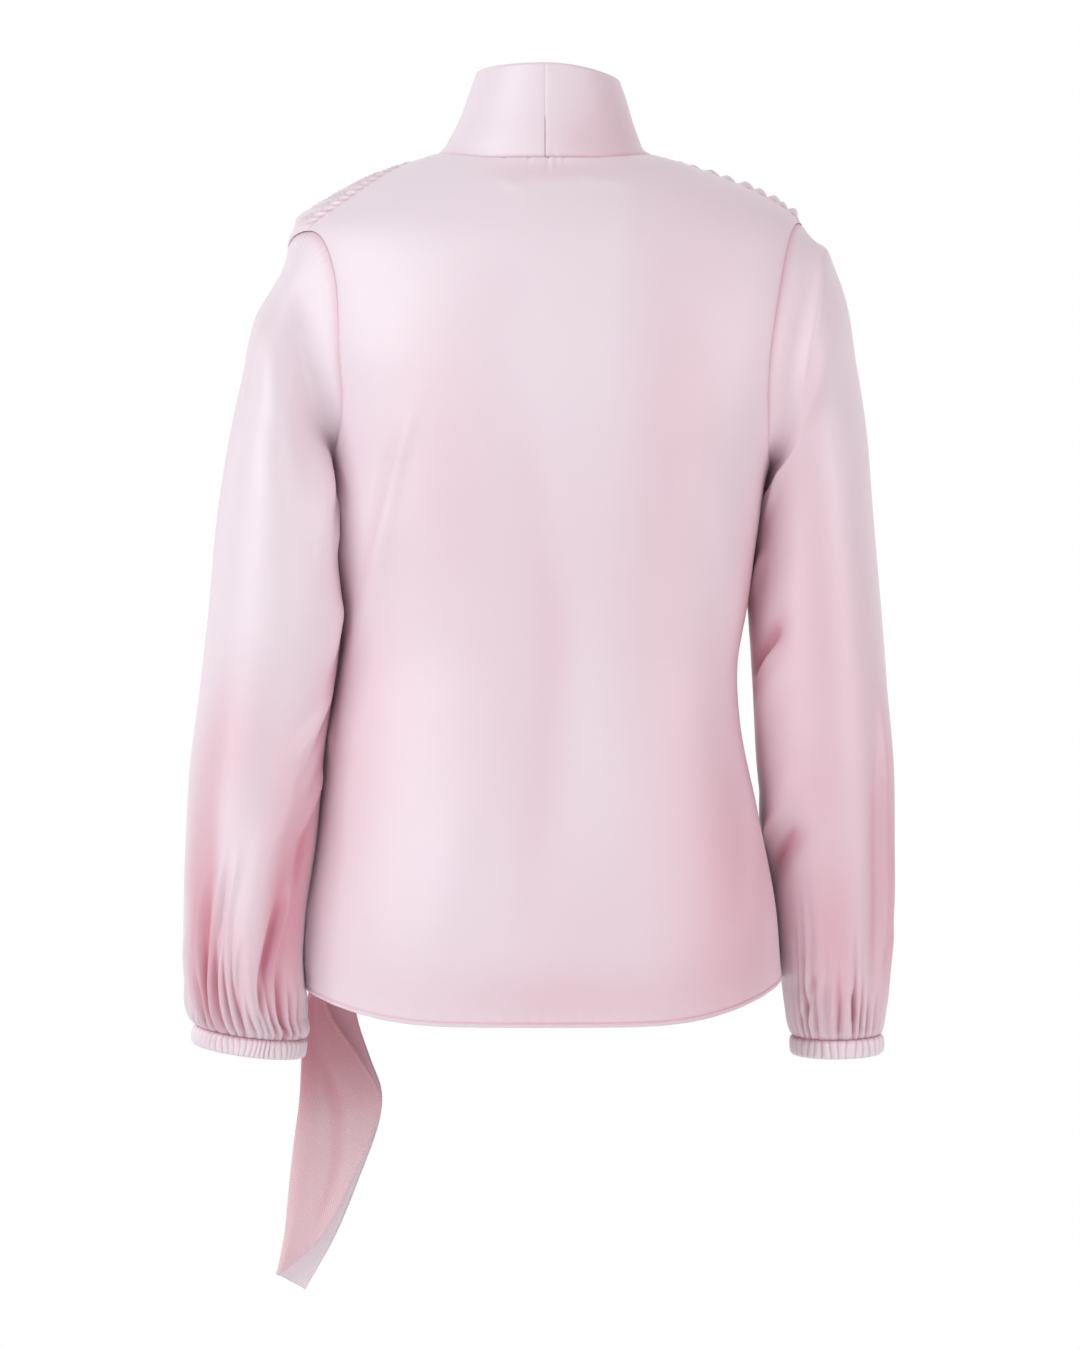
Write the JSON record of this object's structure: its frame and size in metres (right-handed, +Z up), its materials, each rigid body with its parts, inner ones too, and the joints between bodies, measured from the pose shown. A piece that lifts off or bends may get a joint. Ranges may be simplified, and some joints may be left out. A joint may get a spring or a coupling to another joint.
{
  "type": "blouse",
  "caption": "Long-sleeved pullover blouse of satin with a tall funnel collar, shoulders gathered in front, elastic cuffs and a folded tie hanging at the left hip.",
  "frame": {"origin": "middle of the neck opening at the foot of the collar, where the wearer's neck holds the blouse", "axes": "+Z up the wearer, -Y to the front, +X to the wearer's left"},
  "size_m": [0.5258, 0.2192, 0.913],
  "materials": {
    "satin": "soft satin weave, pale lavender pink",
    "satin_reverse": "matte reverse of the satin, fine diagonal twill"
  },
  "bodies": {
    "root": {"back": "satin", "front": "satin", "sleeve_left": "satin", "sleeve_right": "satin", "cuff_left": "satin", "cuff_right": "satin", "collar": "satin", "tie": "satin_reverse"}
  },
  "joints": []
}
